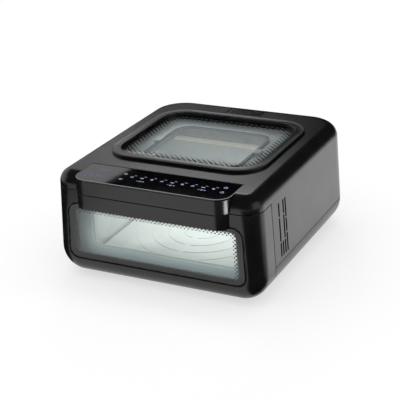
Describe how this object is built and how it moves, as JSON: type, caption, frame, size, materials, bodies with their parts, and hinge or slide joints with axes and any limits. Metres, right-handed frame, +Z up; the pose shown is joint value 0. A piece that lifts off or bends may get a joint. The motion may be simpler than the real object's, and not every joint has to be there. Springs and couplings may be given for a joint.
{
  "type": "drawer air fryer",
  "caption": "Low countertop air fryer with a glass-fronted pull-out drawer, a fixed viewing window in its lid and a touch panel over the handle.",
  "frame": {"origin": "under the middle of the appliance, on the surface that its feet stand on", "axes": "+X to the right seen from the front, +Y from the drawer towards the back, +Z up"},
  "size_m": [0.3483, 0.3958, 0.1791],
  "materials": {
    "shell_plastic": "satin black ABS",
    "panel_gloss": "polished black acrylic",
    "window_glass": "tempered glass with a printed black border",
    "inner_glass": "tempered glass",
    "seal_rubber": "black silicone",
    "foot_rubber": "matte",
    "liner_steel": "galvanised sheet",
    "pan_enamel": "grey enamel",
    "heater_steel": "sheathed element",
    "heater_ceramic": "unglazed",
    "screw_steel": "zinc plated",
    "board_laminate": "green solder mask",
    "component_plastic": "black",
    "plunger_plastic": "red",
    "motor_steel": "plain",
    "fan_aluminium": "pressed"
  },
  "bodies": {
    "casing": {"upper_housing": "shell_plastic", "base_tray": "shell_plastic", "rear_cover": "shell_plastic", "rear_vent_grille": "shell_plastic", "control_panel_housing": "shell_plastic", "window_trim_ring": "shell_plastic", "touch_panel": "panel_gloss", "top_outer_glass": "window_glass", "top_inner_glass": "inner_glass", "lamp_lens": "inner_glass", "top_glass_gasket": "seal_rubber", "feet": "foot_rubber", "oven_liner": "liner_steel", "liner_top_plate": "liner_steel", "front_frame": "liner_steel", "top_glass_retainer": "liner_steel", "inner_glass_clips": "liner_steel", "heater_brackets": "liner_steel", "fan_guard": "liner_steel", "fan_chamber": "liner_steel", "motor_bracket": "liner_steel", "heat_shield": "liner_steel", "slide_rail_left": "liner_steel", "slide_rail_right": "liner_steel", "heater_tube_front": "heater_steel", "heater_tube_rear": "heater_steel", "temperature_probe": "heater_steel", "heater_end_caps": "heater_ceramic", "lamp_holder": "heater_ceramic", "foot_screws": "screw_steel", "rear_cover_screws": "screw_steel", "control_board": "board_laminate", "power_board": "board_laminate", "board_components": "component_plastic", "board_standoffs": "component_plastic", "door_switch": "component_plastic", "thermal_cutout": "component_plastic", "cord_gland": "component_plastic", "fan_motor": "motor_steel"},
    "drawer": {"drawer_front_shell": "shell_plastic", "drawer_back_panel": "liner_steel", "drawer_handle": "shell_plastic", "handle_screws": "screw_steel", "front_outer_glass": "window_glass", "front_glass_gasket": "seal_rubber", "pan": "pan_enamel", "pan_window_glass": "inner_glass", "pan_window_gasket": "seal_rubber", "pan_window_frame": "pan_enamel", "pan_screws": "screw_steel", "runner_left": "pan_enamel", "runner_right": "pan_enamel"},
    "crisper": {"crisper_plate": "pan_enamel", "crisper_bumpers": "seal_rubber"},
    "fan_rotor": {"convection_fan": "fan_aluminium", "cooling_fan": "fan_aluminium", "motor_shaft": "screw_steel", "fan_nut": "screw_steel"},
    "plunger": {"switch_plunger": "plunger_plastic"}
  },
  "joints": [
    {"name": "drawer_slide", "type": "slide", "parent": "casing", "child": "drawer", "axis": [0, -1, 0], "range_m": [0, 0.22]},
    {"name": "crisper_lift", "type": "slide", "parent": "drawer", "child": "crisper", "axis": [0, 0, 1], "range_m": [0, 0.06]},
    {"name": "fan_spin", "type": "hinge", "parent": "casing", "child": "fan_rotor", "pos_m": [0, 0.14, 0.0863], "axis": [0, 1, 0], "continuous": true},
    {"name": "plunger_press", "type": "slide", "parent": "casing", "child": "plunger", "axis": [0, 1, 0], "range_m": [0, 0.002], "stiffness_N_per_m": 200}
  ]
}
